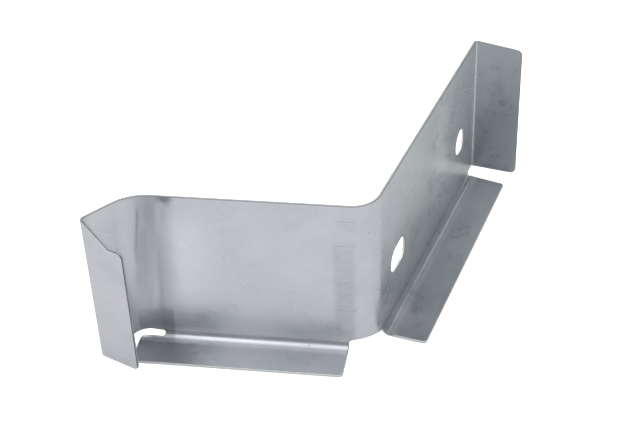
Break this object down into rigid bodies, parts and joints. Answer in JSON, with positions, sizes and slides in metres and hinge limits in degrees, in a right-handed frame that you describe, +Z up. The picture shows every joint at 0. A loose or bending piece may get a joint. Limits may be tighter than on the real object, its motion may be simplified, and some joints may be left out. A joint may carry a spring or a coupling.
{
  "type": "rocker panel bracket",
  "caption": "Bracket folded from steel sheet: an upright strip that turns a corner and ends in a hooked lip and an end flange, with foot flanges along its base and an oblong and a round hole.",
  "frame": {"origin": "centre of the overall box in plan, at the height of the flanges' undersides", "axes": "+Z up from the flanges along the walls' height, +X along the front wall towards the centre bend, +Y away from the front wall's flange towards the end fold"},
  "size_m": [0.1824, 0.1802, 0.08],
  "materials": {
    "galvanised_steel": "galvanised sheet, satin, with a soft blue-grey mottle"
  },
  "bodies": {
    "root": {"bracket": "galvanised_steel"}
  },
  "joints": []
}
